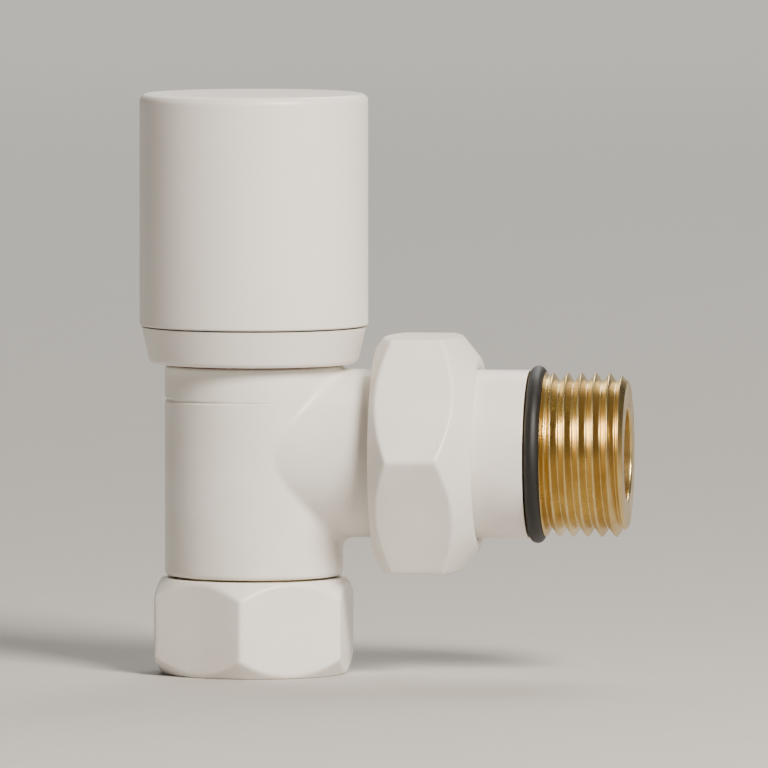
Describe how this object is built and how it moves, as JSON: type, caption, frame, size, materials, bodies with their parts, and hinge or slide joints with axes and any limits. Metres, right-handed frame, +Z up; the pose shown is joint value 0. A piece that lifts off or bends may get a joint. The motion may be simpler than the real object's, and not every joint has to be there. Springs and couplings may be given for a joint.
{
  "type": "lockshield valve",
  "caption": "White angle radiator valve with a plain pull-off cap over a key-operated spindle, compression pipe inlet below and union tail at the side.",
  "frame": {"origin": "centre of the pipe hole's mouth, on the bottom face of the pipe nut", "axes": "+Z up along the pipe and the spindle, +X out along the tail towards the radiator, +Y away from the viewer"},
  "size_m": [0.0626, 0.0344, 0.0741],
  "materials": {
    "coated_brass": "satin white powder coat on brass",
    "coated_nut": "satin white powder coat on brass",
    "white_plastic": "satin white moulded plastic",
    "white_plastic_ring": "satin white moulded plastic",
    "turned_brass": "turned",
    "spring_steel": "bright drawn wire and strip",
    "steel_screw": "stainless",
    "fibre": "red vulcanised fibre",
    "ptfe": "waxy white",
    "black_rubber": "matt moulded"
  },
  "bodies": {
    "valve": {"valve_body": "coated_brass", "bonnet": "turned_brass", "bonnet_washer": "fibre", "union_tail": "coated_brass", "union_o_ring": "black_rubber", "tail_o_ring": "black_rubber"},
    "spindle": {"spindle": "turned_brass", "spindle_o_rings": "black_rubber", "thrust_washer": "ptfe", "spindle_circlip": "spring_steel"},
    "plug": {"plug_carrier": "turned_brass", "valve_washer": "black_rubber", "washer_screw": "steel_screw"},
    "cap_ring": {"cap_ring": "white_plastic_ring", "cap_clip": "spring_steel"},
    "cap_shell": {"cap_shell": "white_plastic"},
    "union_ring": {"union_split_ring": "turned_brass"},
    "union_nut": {"union_nut": "coated_nut"},
    "olive": {"olive": "turned_brass"},
    "pipe_nut": {"pipe_nut": "coated_nut"}
  },
  "joints": [
    {"name": "spindle_turn", "type": "hinge", "parent": "valve", "child": "spindle", "pos_m": [0, 0, 0.05], "axis": [0, 0, 1], "range_deg": [-540, 900]},
    {"name": "plug_lift", "type": "slide", "parent": "valve", "child": "plug", "axis": [0, 0, 1], "range_m": [-0.00188, 0.00313]},
    {"name": "cap_lift", "type": "slide", "parent": "valve", "child": "cap_ring", "axis": [0, 0, 1], "range_m": [0, 0.036]},
    {"name": "cap_turn", "type": "hinge", "parent": "cap_ring", "child": "cap_shell", "pos_m": [0, 0, 0.06], "axis": [0, 0, 1], "continuous": true},
    {"name": "union_ring_slide", "type": "slide", "parent": "valve", "child": "union_ring", "axis": [1, 0, 0], "range_m": [0, 0.00635]},
    {"name": "union_nut_turn", "type": "hinge", "parent": "union_ring", "child": "union_nut", "pos_m": [0.0225, 0, 0.0282], "axis": [1, 0, 0], "range_deg": [0, 1260]},
    {"name": "olive_slide", "type": "slide", "parent": "valve", "child": "olive", "axis": [0, 0, -1], "range_m": [0, 0.00544]},
    {"name": "pipe_nut_turn", "type": "hinge", "parent": "olive", "child": "pipe_nut", "pos_m": [0, 0, 0.006], "axis": [0, 0, -1], "range_deg": [0, 1080]}
  ],
  "couplings": [
    {"joint": "plug_lift", "follows": "spindle_turn", "m_per_rad": 0.00019894},
    {"joint": "union_ring_slide", "follows": "union_nut_turn", "m_per_rad": 0.00028871},
    {"joint": "olive_slide", "follows": "pipe_nut_turn", "m_per_rad": 0.00028871}
  ]
}
